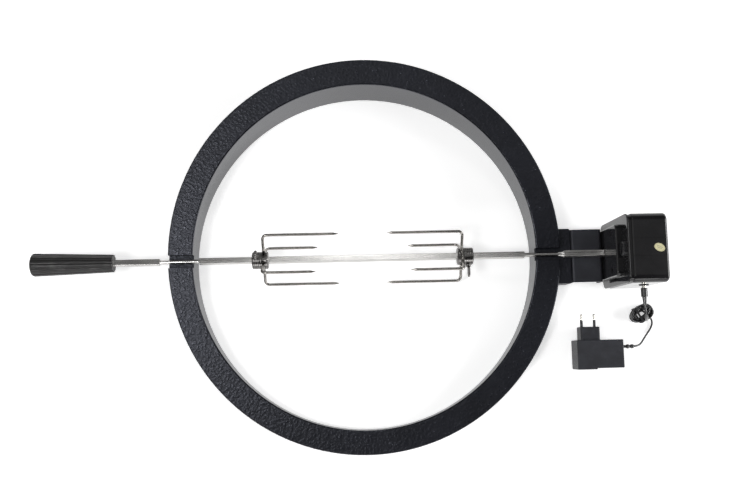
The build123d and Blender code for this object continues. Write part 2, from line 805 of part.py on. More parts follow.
with BuildPart() as plate_screws:
    with BuildSketch(at_x(plate_back)):
        with Locations(*pillar_places):
            Circle(2.6)
    extrude(amount=1.8)
    with BuildSketch(at_x(plate_back)):
        with Locations(*pillar_places):
            Circle(1.25)
    extrude(amount=-(plate_thick + 8))
save(plate_screws, "plate_screws")

# ---- switch --------------------------------------------------------------------------------------
pocket_r = rocker_r + 0.9
pivot_x = front_x - switch_proud + 5.0
pivot_r = 0.8
with BuildPart() as switch_bezel:
    with BuildSketch(at_x(front_x - switch_proud)):
        with Locations((motor_y, switch_z)):
            Circle(switch_r)
    extrude(amount=switch_proud)
    fillet(switch_bezel.faces().sort_by(Axis.X)[0].edges(), 1.2)
    with BuildSketch(at_x(front_x)):
        with Locations((motor_y, switch_z)):
            Circle(switch_body_r)
    extrude(amount=14)
    with BuildSketch(at_x(front_x - switch_proud)):
        with Locations((motor_y, switch_z)):
            Circle(pocket_r)
    extrude(amount=9, mode=Mode.SUBTRACT)
    with Locations(facing((pivot_x, motor_y, switch_z), (0, 1, 0))):
        Cylinder(pivot_r + fit, 2 * switch_body_r - 0.4, mode=Mode.SUBTRACT)
save(switch_bezel, "switch_bezel")

rocker_axis = Axis((pivot_x, motor_y, switch_z), (0, 1, 0))
with BuildPart() as rocker_block:
    with BuildSketch(at_x(front_x - switch_proud - 0.4)):
        with Locations((motor_y, switch_z)):
            Circle(rocker_r)
    extrude(amount=6.0)
    for side in (-1, 1):
        edge = (front_x - switch_proud + 0.7, motor_y, switch_z)
        lean = radians(rocker_tilt)
        split(bisect_by=Plane(origin=edge, z_dir=(-cos(lean), 0, side * sin(lean))), keep=Keep.BOTTOM)
    with Locations(facing((pivot_x, motor_y, switch_z), (0, 1, 0))):
        Cylinder(pivot_r, 2 * switch_body_r - 1.0)
with BuildPart() as switch_rocker:
    add(rocker_block.part.rotate(rocker_axis, -rocker_tilt))
save(switch_rocker, "switch_rocker")

with BuildPart() as switch_terminals:
    for side in (-1, 1):
        with Locations(Location((front_x + 14, motor_y, switch_z + side * 4))):
            Box(6, 4.8, 0.8, align=(Align.MIN, Align.CENTER, Align.CENTER))
save(switch_terminals, "switch_terminals")

# ---- jack and plug -------------------------------------------------------------------------------
jack_flange = 1.0
jack_in = 12.0
outer_y = side_y - jack_flange
with BuildPart() as dc_jack:
    with Locations(facing((jack_x, outer_y, jack_z), (0, 1, 0))):
        Cylinder(jack_body_r, jack_flange + jack_in, align=upward)
        Cylinder(jack_body_r + 1.2, jack_flange, align=upward)
        Cylinder(barrel_r + fit, 10.5, align=upward, mode=Mode.SUBTRACT)
        Cylinder(1.0, jack_in, align=upward, mode=Mode.SUBTRACT)
save(dc_jack, "dc_jack")

with BuildPart() as jack_pin:
    with Locations(facing((jack_x, outer_y + 2.0, jack_z), (0, 1, 0))):
        Cylinder(1.0 - fit, jack_in - 2.0, align=upward)
save(jack_pin, "jack_pin")

barrel_show = 3.0       # how much of the plug's barrel stays in sight
plug_y = outer_y - barrel_show
plug_len = 12.0
relief_len = 11.0
with BuildPart() as plug_barrel:
    with Locations(facing((jack_x, plug_y, jack_z), (0, 1, 0))):
        Cylinder(barrel_r, barrel_show + 9.5, align=upward)
        Cylinder(1.25, barrel_show + 9.5, align=upward, mode=Mode.SUBTRACT)
save(plug_barrel, "plug_barrel")

with BuildPart() as plug_body:
    with Locations(facing((jack_x, plug_y, jack_z), (0, -1, 0))):
        Cylinder(plug_r, plug_len, align=upward)
    fillet(plug_body.faces().sort_by(Axis.Y)[-1].edges(), 0.8)
    with Locations(facing((jack_x, plug_y - plug_len, jack_z), (0, -1, 0))):
        Cone(3.2, 2.1, relief_len, align=upward)
save(plug_body, "plug_body")

# ---- lead ----------------------------------------------------------------------------------------
hank_low = 1.0
hank_high = 15.0
hank_small = (cx + adapter_x + 94.0, -87.0, 9.5)        # centre and radius of the narrow end
hank_large = (cx + adapter_x + 104.5, -81.0, 13.5)
tie_share = 0.12        # how far the tie sits from the narrow end's centre to the wide one's
bead_x = cx + adapter_x + adapter_len
lead_y = adapter_y - 10.0
lead_z = adapter_thick / 2 + 0.3
bead_end = bead_x + 19.5
tail_gap = 0.5          # the tail leaves the relief at a slant


def radii(points):
    """Largest tidy radius at each corner of a route, from its shorter run and its turn."""
    result = []
    for before, here, after in zip(points, points[1:], points[2:]):
        run_in = Vector(*here) - Vector(*before)
        run_out = Vector(*after) - Vector(*here)
        turn = radians(run_in.get_angle(run_out))
        result.append(0.45 * min(run_in.length, run_out.length) / tan(turn / 2))
    return result


def lead_tube(name, points):
    bends = radii(points)
    with BuildPart() as tube:
        with BuildLine() as path:
            FilletPolyline(*points, radius=bends)
        with BuildSketch(Plane(origin=path.line @ 0, z_dir=path.line % 0)):
            Circle(lead_r)
        sweep(path=path.line)
    length = sum(edge.length for edge in path.edges())
    ratio = tube.part.volume / (pi * lead_r**2 * length)
    print(name, "length", round(length, 1), "volume ratio", round(ratio, 4))
    print(name, "radii", [round(r, 1) for r in bends])
    save(tube, name)


lead_tube("lead_drop", [
    (jack_x, plug_y - plug_len - relief_len, jack_z),
    (jack_x, -84.5, jack_z),
    (jack_x + 3.0, -92.8, jack_z - 7.5),
    (jack_x + 7.5, -95.0, jack_z - 19.0),
    (jack_x + 12.5, -93.0, jack_z - 31.0),
    (jack_x + 16.8, -88.5, jack_z - 43.0),
    (jack_x + 19.3, -85.0, jack_z - 53.0),
    (jack_x + 20.0, -83.6, hank_high - 0.6),
])
lead_tube("lead_tail", [
    (bead_end + tail_gap, lead_y, lead_z),
    (bead_end + 6.5, lead_y + 0.6, lead_z - 1.6),
    (bead_end + 12.5, lead_y + 4.2, lead_z - 6.5),
    (bead_end + 18.0, lead_y + 9.8, lead_z - 12.5),
    (bead_end + 24.5, lead_y + 17.0, lead_z - 16.0),
    (bead_end + 30.5, lead_y + 24.8, lead_r + 0.2),
    (bead_end + 33.4, lead_y + 32.8, lead_r + 0.5),
    (bead_end + 30.6, lead_y + 40.1, lead_r + 2.2),
])

with BuildPart() as lead_hank:
    with BuildSketch(Plane.XY.offset(hank_low)):
        with Locations(hank_small[:2]):
            Circle(hank_small[2])
        with Locations(hank_large[:2]):
            Circle(hank_large[2])
        make_hull()
    extrude(amount=hank_high - hank_low)
    fillet(lead_hank.edges().group_by(Axis.Z)[-1] + lead_hank.edges().group_by(Axis.Z)[0], 3.0)
save(lead_hank, "lead_hank")

hank_turn = degrees(atan2(hank_large[1] - hank_small[1], hank_large[0] - hank_small[0]))
tie_x = hank_small[0] + tie_share * (hank_large[0] - hank_small[0])
tie_y = hank_small[1] + tie_share * (hank_large[1] - hank_small[1])
tie_gap = 0.3
tie_thick = 0.6
tie_inner_w = 2 * hank_small[2] + 2.6 + 2 * tie_gap
tie_inner_h = hank_high - hank_low + tie_gap
with BuildPart() as hank_tie:
    tie_plane = Plane(origin=(tie_x, tie_y, (hank_high + hank_low) / 2), x_dir=(
        -sin(radians(hank_turn)), cos(radians(hank_turn)), 0), z_dir=(
        cos(radians(hank_turn)), sin(radians(hank_turn)), 0))
    with BuildSketch(tie_plane):
        RectangleRounded(tie_inner_w + 2 * tie_thick, tie_inner_h + 2 * tie_thick, 2.6)
        RectangleRounded(tie_inner_w, tie_inner_h, 2.0, mode=Mode.SUBTRACT)
    extrude(amount=1.5, both=True)
save(hank_tie, "hank_tie")

# ---- adapter -------------------------------------------------------------------------------------
ax = cx + adapter_x
adapter_bottom = 0.3
seam_y = adapter_y - cover_wide
back_y = adapter_y - adapter_wide
step_len = 27.0         # the deeper part of the case, under the pins
step_deep = 1.6
relief_r = 2.0
board_len = 50.0        # the board stands on four posts of the case
board_wide = 26.0
board_thick = 1.6
board_lift = 3.2
board_x = ax + adapter_len / 2 + 2
board_y = (seam_y + back_y) / 2


def case_block(low_y, high_y, inset, length=adapter_len):
    """A block of the adapter's case between two Y planes, drawn in plan."""
    with BuildSketch(Plane.XY.offset(adapter_bottom + inset)) as plan:
        with Locations((ax + length / 2, (low_y + high_y) / 2)):
            Rectangle(length - 2 * inset, high_y - low_y)
    extrude(plan.sketch, amount=adapter_thick - 2 * inset)


with BuildPart() as adapter_case:
    case_block(back_y - step_deep, seam_y, 0, step_len)
    case_block(back_y, seam_y, 0)
    fillet(adapter_case.edges().filter_by(Axis.Y), 1.5)
    fillet(adapter_case.faces().filter_by(Axis.Y).sort_by(Axis.Y)[0].edges(), 0.8)
    case_inside = adapter_wide - cover_wide - adapter_wall
    with BuildSketch(Plane.XZ.offset(-seam_y)):
        with Locations((ax + adapter_len / 2, adapter_bottom + adapter_thick / 2)):
            Rectangle(adapter_len - 2 * adapter_wall, adapter_thick - 2 * adapter_wall)
    extrude(amount=case_inside, mode=Mode.SUBTRACT)
    with Locations(facing((bead_x, lead_y, lead_z), (1, 0, 0))):
        Cylinder(relief_r + fit, 6, mode=Mode.SUBTRACT)
    with BuildSketch(Plane.XY.offset(adapter_bottom + adapter_wall - 0.5)):
        with Locations(Location((board_x, board_y))):
            with GridLocations(board_len - 8, board_wide - 8, 2, 2):
                Circle(1.6)
    extrude(amount=board_lift + 0.5)
save(adapter_case, "adapter_case")

with BuildPart() as adapter_cover:
    case_block(seam_y, adapter_y, 0)
    fillet(adapter_cover.edges().filter_by(Axis.Y), 1.5)
    fillet(adapter_cover.faces().sort_by(Axis.Y)[-1].edges(), 1.2)
    with BuildSketch(Plane.XZ.offset(-seam_y)):
        with Locations((ax + adapter_len / 2, adapter_bottom + adapter_thick / 2)):
            Rectangle(adapter_len - 2 * adapter_wall, adapter_thick - 2 * adapter_wall)
    extrude(amount=-(cover_wide - adapter_wall), mode=Mode.SUBTRACT)
    pin_places = [
        (cx + pin_block_x + pin_block_len / 2 + s * pin_pitch / 2, adapter_bottom + adapter_thick / 2)
        for s in (-1, 1)
    ]
    with BuildSketch(Plane.XZ.offset(-adapter_y)):
        with Locations(*pin_places):
            Circle(1.5 + fit)
    extrude(amount=cover_wide, mode=Mode.SUBTRACT)
save(adapter_cover, "adapter_cover")

block_y = adapter_y + pin_block_reach
with BuildPart() as pin_block:
    with BuildSketch(Plane.XZ.offset(-adapter_y)):
        with Locations((cx + pin_block_x + pin_block_len / 2, adapter_bottom + adapter_thick / 2)):
            RectangleRounded(pin_block_len, pin_block_thick, 2.5)
    extrude(amount=-pin_block_reach)
    fillet(pin_block.faces().sort_by(Axis.Y)[-1].edges(), 1.0)
    with BuildSketch(Plane.XZ.offset(-adapter_y)):
        with Locations(*pin_places):
            Circle(1.5 + fit)
    extrude(amount=-pin_block_reach, mode=Mode.SUBTRACT)
save(pin_block, "pin_block")

with BuildPart() as adapter_pins:
    with BuildSketch(Plane.XZ.offset(-(seam_y + 1))):
        with Locations(*pin_places):
            Circle(1.5)
    extrude(amount=-(block_y + sleeve_len - seam_y - 1))
    with BuildSketch(Plane.XZ.offset(-(block_y + sleeve_len))):
        with Locations(*pin_places):
            Circle(pin_r)
    extrude(amount=-(pin_len - sleeve_len))
    fillet(adapter_pins.edges().filter_by(GeomType.CIRCLE).group_by(Axis.Y)[-1], 1.3)
save(adapter_pins, "adapter_pins")

with BuildPart() as pin_sleeves:
    with BuildSketch(Plane.XZ.offset(-block_y)):
        with Locations(*pin_places):
            Circle(pin_r)
            Circle(1.5 + fit, mode=Mode.SUBTRACT)
    extrude(amount=-sleeve_len)
save(pin_sleeves, "pin_sleeves")

relief_plane = Plane(origin=(bead_x, lead_y, lead_z), x_dir=(1, 0, 0), z_dir=(0, -1, 0))
relief_in = adapter_wall + 1
with BuildPart() as bead_relief:
    with BuildSketch(relief_plane):
        with Locations((-relief_in, 0)):
            Rectangle(relief_in + bead_end - bead_x, relief_r, align=(Align.MIN, Align.MIN))
        Polygon((0, 0), (0, 3.4), (4.5, 2.2), (4.5, 0), align=None)
        with Locations((10.4, 0), (16.5, 0)):
            Circle(bead_r)
        with Locations((0, -10)):
            Rectangle(60, 20, mode=Mode.SUBTRACT)
    revolve(axis=Axis((bead_x, lead_y, lead_z), (1, 0, 0)))
save(bead_relief, "bead_relief")

board_z = adapter_bottom + adapter_wall + board_lift
with BuildPart() as adapter_board:
    with Locations((board_x, board_y, board_z)):
        Box(board_len, board_wide, board_thick, align=upward)
save(adapter_board, "adapter_board")

with BuildPart() as adapter_transformer:
    with Locations((board_x + 2, board_y, board_z + board_thick)):
        Box(20, 18, 15, align=upward)
        Box(12, 23, 11, align=upward)
save(adapter_transformer, "adapter_transformer")
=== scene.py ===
import math
import bpy
from mathutils import Matrix, Vector


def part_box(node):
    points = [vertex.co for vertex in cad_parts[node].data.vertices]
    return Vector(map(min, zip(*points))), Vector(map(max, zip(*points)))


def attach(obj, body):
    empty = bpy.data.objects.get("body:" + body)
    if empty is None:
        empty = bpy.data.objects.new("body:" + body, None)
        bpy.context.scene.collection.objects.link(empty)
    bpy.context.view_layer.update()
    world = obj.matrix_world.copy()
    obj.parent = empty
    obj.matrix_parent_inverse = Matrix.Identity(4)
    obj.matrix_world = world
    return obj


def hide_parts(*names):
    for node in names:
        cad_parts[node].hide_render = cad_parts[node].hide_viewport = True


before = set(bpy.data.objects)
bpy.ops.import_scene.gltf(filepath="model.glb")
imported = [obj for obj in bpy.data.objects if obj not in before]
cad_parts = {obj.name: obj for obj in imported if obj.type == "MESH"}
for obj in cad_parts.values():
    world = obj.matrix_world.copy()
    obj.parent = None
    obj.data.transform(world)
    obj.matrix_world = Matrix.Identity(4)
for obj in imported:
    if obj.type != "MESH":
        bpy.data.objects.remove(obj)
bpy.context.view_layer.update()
scene = bpy.context.scene

# Looks of a rotisserie kit for a round charcoal grill. Metres, in the part's own frame: X runs along the
# spit from the grip to the motor, and Y rises towards the tall side of the ring.

ring_low, ring_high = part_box("ring_casting")
ring_radius = (ring_high.y - ring_low.y) / 2
ring_middle = Vector((ring_low.x + ring_radius, 0, 0))
ring_band = 0.034                               # width of the ring, outside to bore


# ---- camera --------------------------------------------------------------------------------------
def make_camera():
    data = bpy.data.cameras.new("overhead_camera")
    data.lens = 42.24
    data.sensor_width = 36
    camera = bpy.data.objects.new("overhead_camera", data)
    scene.collection.objects.link(camera)
    camera.matrix_world = (
        Matrix.Translation(ring_middle + Vector((-0.01334, -0.12993, 1.25)))
        @ Matrix.Rotation(math.radians(-1.19), 4, "Z")
        @ Matrix.Rotation(math.radians(6.68), 4, "X")
        @ Matrix.Rotation(math.radians(-1.15), 4, "Y")
    )
    scene.camera = camera


make_camera()

# ---- lead ----------------------------------------------------------------------------------------
lead_diameter = 0.0028
drop_route = [
    (0.40575, -0.0745, 0.074),
    (0.40575, -0.0845, 0.074),
    (0.40875, -0.0928, 0.0665),
    (0.41325, -0.0950, 0.055),
    (0.41825, -0.0930, 0.043),
    (0.42255, -0.0885, 0.031),
    (0.42505, -0.0850, 0.021),
    (0.42575, -0.0836, 0.0144),
]
tail_route = [
    (0.40525, -0.1293, 0.01805),
    (0.41175, -0.1287, 0.01645),
    (0.41775, -0.1251, 0.01155),
    (0.42325, -0.1195, 0.00555),
    (0.42975, -0.1123, 0.00205),
    (0.43575, -0.1045, 0.0016),
    (0.43865, -0.0965, 0.0019),
    (0.43585, -0.0892, 0.0036),
]
hank_small = Vector((0.41525, -0.087, 0))       # middle of the narrow end
hank_large = Vector((0.42575, -0.081, 0))
hank_small_r = 0.0095
hank_large_r = 0.0135
outer_inset = 0.0015                            # from the hank's edge to a turn's centreline
inner_inset = 0.0043
hank_turns = 10
turn_points = 14
hank_top = 0.0132                               # centre of the top layer's lead
layer_drop = 0.0027
# How much further in each turn lies at the wide end.
hank_fan = (0, 0.0017, 0.0046, 0.0012, 0, 0.001, 0.005, 0.002, 0, 0.0018)


def hank_route():
    """Long flat turns from the top layer down, two to a layer, each a little different from the last."""
    along = hank_large - hank_small
    heading = math.atan2(along.y, along.x)
    points = []
    for step in range(hank_turns * turn_points):
        turn = step / turn_points
        number = int(turn)
        outer = number % 4 in (0, 3)
        settle = min(1, 0.55 + 0.45 * turn * 4)
        swing = math.radians(3.0 if outer else 9.0) * math.sin(2.1 * number)
        angle = math.radians(75) - heading - 2 * math.pi * turn
        share = 0.5 + 0.25 * math.cos(angle) * (3 - math.cos(angle) ** 2)
        radius = hank_small_r + share * (hank_large_r - hank_small_r)
        radius -= (outer_inset if outer else inner_inset) + share * hank_fan[number]
        radius += 0.0004 * math.sin(2.4 * number + 1)
        middle = hank_small + along * share
        offset = Vector((math.cos(angle + heading), math.sin(angle + heading), 0)) * radius * settle
        spot = hank_small + Matrix.Rotation(swing, 3, "Z") @ (middle + offset - hank_small)
        layer = min(turn / 2, hank_turns / 2 - 1)
        height = hank_top - layer_drop * (int(layer) + max(0, (layer % 1 - 0.86) / 0.14))
        points.append((spot.x, spot.y, height + 0.0003 * math.sin(3 * angle + number)))
    return points


def make_lead():
    route = drop_route + hank_route() + tail_route[::-1]
    data = bpy.data.curves.new("lead", "CURVE")
    data.dimensions = "3D"
    spline = data.splines.new("NURBS")
    spline.points.add(len(route) - 1)
    for point, place in zip(spline.points, route):
        point.co = (*place, 1)
    spline.order_u = 3
    spline.use_endpoint_u = True
    spline.resolution_u = 5
    data.bevel_depth = lead_diameter / 2
    data.bevel_resolution = 3
    data.use_fill_caps = True
    lead = bpy.data.objects.new("lead", data)
    scene.collection.objects.link(lead)
    return lead


lead = make_lead()


# ---- node helpers --------------------------------------------------------------------------------
def node(tree, kind, settings=None, **inputs):
    """Adds a node; an input is a socket to link from, or a value."""
    made = tree.nodes.new(kind)
    for key, value in (settings or {}).items():
        setattr(made, key, value)
    for key, value in inputs.items():
        socket = made.inputs[int(key[1:])] if key[1:].isdigit() else made.inputs[key.replace("_", " ")]
        if isinstance(value, bpy.types.NodeSocket):
            tree.links.new(value, socket)
        else:
            socket.default_value = value
    return made


def span(tree, value, low, high, to_low=0.0, to_high=1.0):
    return node(
        tree, "ShaderNodeMapRange", {"interpolation_type": "SMOOTHSTEP"},
        Value=value, From_Min=low, From_Max=high, To_Min=to_low, To_Max=to_high,
    ).outputs["Result"]


def arithmetic(tree, operation, first, second):
    return node(tree, "ShaderNodeMath", {"operation": operation}, i0=first, i1=second).outputs[0]


def blend_colours(tree, mask, first, second):
    made = node(tree, "ShaderNodeMix", {"data_type": "RGBA"})
    for index, value in ((0, mask), (6, first), (7, second)):
        if isinstance(value, bpy.types.NodeSocket):
            tree.links.new(value, made.inputs[index])
        else:
            made.inputs[index].default_value = value
    return made.outputs[2]


def place(tree):
    return node(tree, "ShaderNodeTexCoord").outputs["Object"]


def new_group(name, numbers, outputs):
    """A shader node group with a Vector, named numbers and named outputs, and its two end nodes."""
    group = bpy.data.node_groups.new(name, "ShaderNodeTree")
    group.interface.new_socket("Vector", in_out="INPUT", socket_type="NodeSocketVector")
    for label, value in numbers.items():
        socket = group.interface.new_socket(label, in_out="INPUT", socket_type="NodeSocketFloat")
        socket.default_value = value
    for label in outputs:
        group.interface.new_socket(label, in_out="OUTPUT", socket_type="NodeSocketFloat")
    start = group.nodes.new("NodeGroupInput").outputs
    end = group.nodes.new("NodeGroupOutput").inputs
    return group, start, end


# ---- shared effects ------------------------------------------------------------------------------
def grain_group():
    """Irregular grain: Mask is its raised part, Height its relief."""
    group, start, end = new_group(
        "grain", {"Scale": 200.0, "Detail": 3.0, "Low": 0.4, "High": 0.7}, ("Mask", "Height")
    )
    noise = node(
        group, "ShaderNodeTexNoise", Vector=start["Vector"], Scale=start["Scale"], Detail=start["Detail"]
    ).outputs["Fac"]
    group.links.new(span(group, noise, start["Low"], start["High"]), end["Mask"])
    group.links.new(noise, end["Height"])
    return group


def hammered_group():
    """Pebbled casting paint: rounded cells of mixed size, with a finer skin over them."""
    group, start, end = new_group("hammered", {"Scale": 260.0, "Fine": 900.0}, ("Height", "Crest"))
    warp = node(
        group, "ShaderNodeTexNoise", Vector=start["Vector"], Scale=start["Scale"], Detail=2.0
    ).outputs["Color"]
    bent = node(
        group, "ShaderNodeVectorMath", {"operation": "MULTIPLY_ADD"},
        i0=warp, i1=(0.003, 0.003, 0.003), i2=start["Vector"],
    ).outputs[0]
    cells = node(
        group, "ShaderNodeTexVoronoi", {"feature": "SMOOTH_F1"}, Vector=bent, Scale=start["Scale"]
    ).outputs["Distance"]
    fine = node(
        group, "ShaderNodeTexNoise", Vector=start["Vector"], Scale=start["Fine"], Detail=3.0
    ).outputs["Fac"]
    domes = span(group, cells, 0.75, 0.05)
    height = arithmetic(group, "ADD", domes, arithmetic(group, "MULTIPLY", fine, 0.25))
    group.links.new(height, end["Height"])
    group.links.new(span(group, height, 0.75, 1.15), end["Crest"])
    return group


def brushed_group():
    """Fine scratches along X, as a belt or a lathe's paper leaves them."""
    group, start, end = new_group(
        "brushed", {"Along": 20.0, "Across": 2200.0}, ("Streak", "Height")
    )
    stretch = node(
        group, "ShaderNodeCombineXYZ", X=start["Along"], Y=start["Across"], Z=start["Across"]
    ).outputs[0]
    drawn = node(
        group, "ShaderNodeVectorMath", {"operation": "MULTIPLY"}, i0=start["Vector"], i1=stretch
    ).outputs[0]
    noise = node(group, "ShaderNodeTexNoise", Vector=drawn, Scale=1.0, Detail=4.0).outputs["Fac"]
    group.links.new(span(group, noise, 0.3, 0.7), end["Streak"])
    group.links.new(noise, end["Height"])
    return group


def turned_group():
    """Rings round a shaft along X, as a lathe tool leaves them."""
    group, start, end = new_group("turned", {"Pitch": 2400.0}, ("Ring", "Height"))
    along = node(group, "ShaderNodeSeparateXYZ", Vector=start["Vector"]).outputs["X"]
    wobble = node(
        group, "ShaderNodeTexNoise", Vector=start["Vector"], Scale=60.0, Detail=2.0
    ).outputs["Fac"]
    phase = arithmetic(group, "MULTIPLY", along, start["Pitch"])
    shifted = arithmetic(group, "ADD", phase, arithmetic(group, "MULTIPLY", wobble, 3.0))
    rings = arithmetic(group, "SINE", shifted, 0.0)
    group.links.new(span(group, rings, -1.0, 1.0), end["Ring"])
    group.links.new(rings, end["Height"])
    return group


def dust_group():
    """Thin dust where a surface faces up, in patches."""
    group, start, end = new_group("dust", {"Scale": 30.0, "Amount": 0.3}, ("Mask",))
    facing_up = node(
        group, "ShaderNodeSeparateXYZ", Vector=node(group, "ShaderNodeNewGeometry").outputs["Normal"]
    ).outputs["Z"]
    patches = node(
        group, "ShaderNodeTexNoise", Vector=start["Vector"], Scale=start["Scale"], Detail=6.0,
        Roughness=0.65,
    ).outputs["Fac"]
    mask = arithmetic(
        group, "MULTIPLY", span(group, facing_up, 0.2, 0.95), span(group, patches, 0.45, 0.8)
    )
    group.links.new(arithmetic(group, "MULTIPLY", mask, start["Amount"]), end["Mask"])
    return group


def painted_glint_group():
    """Sparse painted glints: bright points painted where light would catch on single grains."""
    group, start, end = new_group("painted_glint", {"Scale": 500.0, "Size": 0.16, "Share": 0.6}, ("Mask",))
    voronoi = node(group, "ShaderNodeTexVoronoi", Vector=start["Vector"], Scale=start["Scale"])
    inside = arithmetic(group, "LESS_THAN", voronoi.outputs["Distance"], start["Size"])
    picked = node(group, "ShaderNodeSeparateXYZ", Vector=voronoi.outputs["Color"]).outputs["X"]
    chosen = arithmetic(group, "GREATER_THAN", picked, start["Share"])
    group.links.new(arithmetic(group, "MULTIPLY", inside, chosen), end["Mask"])
    return group


groups = {
    "grain": grain_group(),
    "hammered": hammered_group(),
    "brushed": brushed_group(),
    "turned": turned_group(),
    "dust": dust_group(),
    "painted_glint": painted_glint_group(),
}


def effect(tree, name, **values):
    made = tree.nodes.new("ShaderNodeGroup")
    made.node_tree = groups[name]
    values.setdefault("Vector", place(tree))
    for key, value in values.items():
        if isinstance(value, bpy.types.NodeSocket):
            tree.links.new(value, made.inputs[key])
        else:
            made.inputs[key].default_value = value
    return made.outputs


class Finish:
    """A material under way: its tree, its shader and the links that the finishes have in common."""

    def __init__(self, name, **plain):
        self.material = bpy.data.materials.new(name)
        self.material.use_nodes = True
        self.tree = self.material.node_tree
        self.shader = self.tree.nodes["Principled BSDF"]
        for key, value in plain.items():
            self.shader.inputs[key.replace("_", " ")].default_value = value

    def colour(self, socket):
        self.tree.links.new(socket, self.shader.inputs["Base Color"])

    def roughness(self, mask, low, high):
        self.tree.links.new(span(self.tree, mask, 0.0, 1.0, low, high), self.shader.inputs["Roughness"])

    def relief(self, height, distance, strength=1.0, under=None):
        bump = node(self.tree, "ShaderNodeBump", Height=height, Distance=distance, Strength=strength)
        if under is not None:
            self.tree.links.new(under, bump.inputs["Normal"])
        self.tree.links.new(bump.outputs["Normal"], self.shader.inputs["Normal"])
        return bump.outputs["Normal"]


# ---- paints and plastics -------------------------------------------------------------------------
def ring_paint():
    """Black hammered stove paint, a little blue, with painted glints on its pebble crests; the bore wall
    is smooth.
    """
    bore = ring_radius - ring_band
    finish = Finish(
        "hammered_stove_paint", Specular_IOR_Level=0.44, Specular_Tint=(0.84, 0.87, 1.0, 1)
    )
    tree = finish.tree
    pebbles = effect(tree, "hammered", Scale=300.0, Fine=1100.0)
    clouds = effect(tree, "grain", Scale=9.0, Detail=4.0, Low=0.35, High=0.68)
    painted_glints = effect(tree, "painted_glint", Scale=420.0, Size=0.2, Share=0.6)["Mask"]
    dust = effect(tree, "dust", Scale=60.0, Amount=0.05)["Mask"]
    level = node(
        tree, "ShaderNodeMapping", Vector=place(tree), Location=(-ring_middle.x, 0, 0), Scale=(1, 1, 0)
    ).outputs[0]
    away = node(tree, "ShaderNodeVectorMath", {"operation": "LENGTH"}, i0=level).outputs["Value"]
    rough_part = span(tree, away, bore + 0.0007, bore + 0.0022)
    base = blend_colours(tree, clouds["Mask"], (0.0022, 0.0024, 0.0034, 1), (0.0052, 0.0056, 0.0080, 1))
    base = blend_colours(tree, dust, base, (0.075, 0.078, 0.088, 1))
    crests = arithmetic(tree, "MULTIPLY", pebbles["Crest"], rough_part)
    worn = arithmetic(tree, "MULTIPLY", crests, 0.25)
    base = blend_colours(tree, worn, base, (0.030, 0.032, 0.042, 1))
    # Bright points on some pebble crests: painted glints, a highlight painted into the colour.
    lit = arithmetic(tree, "MULTIPLY", painted_glints, crests)
    finish.colour(blend_colours(tree, lit, base, (0.16, 0.17, 0.20, 1)))
    rough = arithmetic(tree, "MULTIPLY", span(tree, pebbles["Crest"], 0.0, 1.0, 0.4, 0.27), rough_part)
    tree.links.new(arithmetic(tree, "MAXIMUM", rough, 0.24), finish.shader.inputs["Roughness"])
    finish.relief(arithmetic(tree, "MULTIPLY", pebbles["Height"], rough_part), 0.0003, 1.0)
    return finish.material


def bracket_paint():
    """Satin black powder coat with an open, gritty skin."""
    finish = Finish("satin_powder_coat", Specular_IOR_Level=0.45, Specular_Tint=(0.88, 0.90, 1.0, 1))
    tree = finish.tree
    grit = effect(tree, "grain", Scale=1300.0, Detail=2.0, Low=0.42, High=0.68)
    clouds = effect(tree, "grain", Scale=35.0, Detail=5.0, Low=0.35, High=0.7)
    base = blend_colours(tree, clouds["Mask"], (0.0125, 0.0125, 0.0150, 1), (0.0245, 0.0250, 0.0300, 1))
    finish.colour(blend_colours(tree, grit["Mask"], base, (0.042, 0.044, 0.052, 1)))
    finish.roughness(clouds["Mask"], 0.34, 0.46)
    finish.relief(grit["Height"], 0.0003, 0.8)
    return finish.material


def housing_gloss():
    """Polished black moulding: nearly a mirror, with faint wiping marks."""
    finish = Finish("polished_black_moulding", Specular_IOR_Level=0.38)
    tree = finish.tree
    smears = effect(tree, "grain", Scale=28.0, Detail=7.0, Low=0.45, High=0.75)
    swell = effect(tree, "grain", Scale=22.0, Detail=1.0)
    wiped = effect(tree, "brushed", Along=60.0, Across=900.0)
    base = blend_colours(tree, smears["Mask"], (0.0092, 0.0090, 0.0098, 1), (0.0145, 0.0142, 0.0154, 1))
    finish.colour(base)
    finish.roughness(arithmetic(tree, "MULTIPLY", smears["Mask"], wiped["Streak"]), 0.085, 0.24)
    finish.relief(swell["Height"], 0.0004, 0.25)
    return finish.material


def moulded(name, dark, light, grain_scale, depth, rough):
    """Textured moulding: a spark-eroded skin, slightly cloudy, with scuffs."""
    finish = Finish(name, Specular_IOR_Level=0.5)
    tree = finish.tree
    skin = effect(tree, "grain", Scale=grain_scale, Detail=2.0, Low=0.38, High=0.66)
    clouds = effect(tree, "grain", Scale=40.0, Detail=5.0, Low=0.35, High=0.72)
    dust = effect(tree, "dust", Scale=90.0, Amount=0.16)["Mask"]
    base = blend_colours(tree, clouds["Mask"], (*dark, 1), (*light, 1))
    base = blend_colours(tree, dust, base, (*[3.2 * value + 0.02 for value in light], 1))
    finish.colour(base)
    finish.roughness(skin["Mask"], rough - 0.06, rough + 0.08)
    finish.relief(skin["Height"], depth, 0.8)
    return finish.material


def grip_plastic():
    """Charcoal-brown moulded grip, worn smooth on its lands, with scratches along it."""
    finish = Finish("charcoal_grip", Specular_IOR_Level=0.5)
    tree = finish.tree
    scratches = effect(tree, "brushed", Along=45.0, Across=1500.0)
    fine = effect(tree, "grain", Scale=1700.0, Detail=2.0)
    wear = effect(tree, "grain", Scale=55.0, Detail=6.0, Low=0.5, High=0.76)
    base = blend_colours(tree, wear["Mask"], (0.0050, 0.0044, 0.0044, 1), (0.0105, 0.0095, 0.0095, 1))
    marks = arithmetic(tree, "MULTIPLY", scratches["Streak"], wear["Mask"])
    finish.colour(blend_colours(tree, marks, base, (0.050, 0.047, 0.046, 1)))
    finish.roughness(scratches["Streak"], 0.34, 0.5)
    finish.relief(fine["Height"], 0.0002, 0.6)
    return finish.material


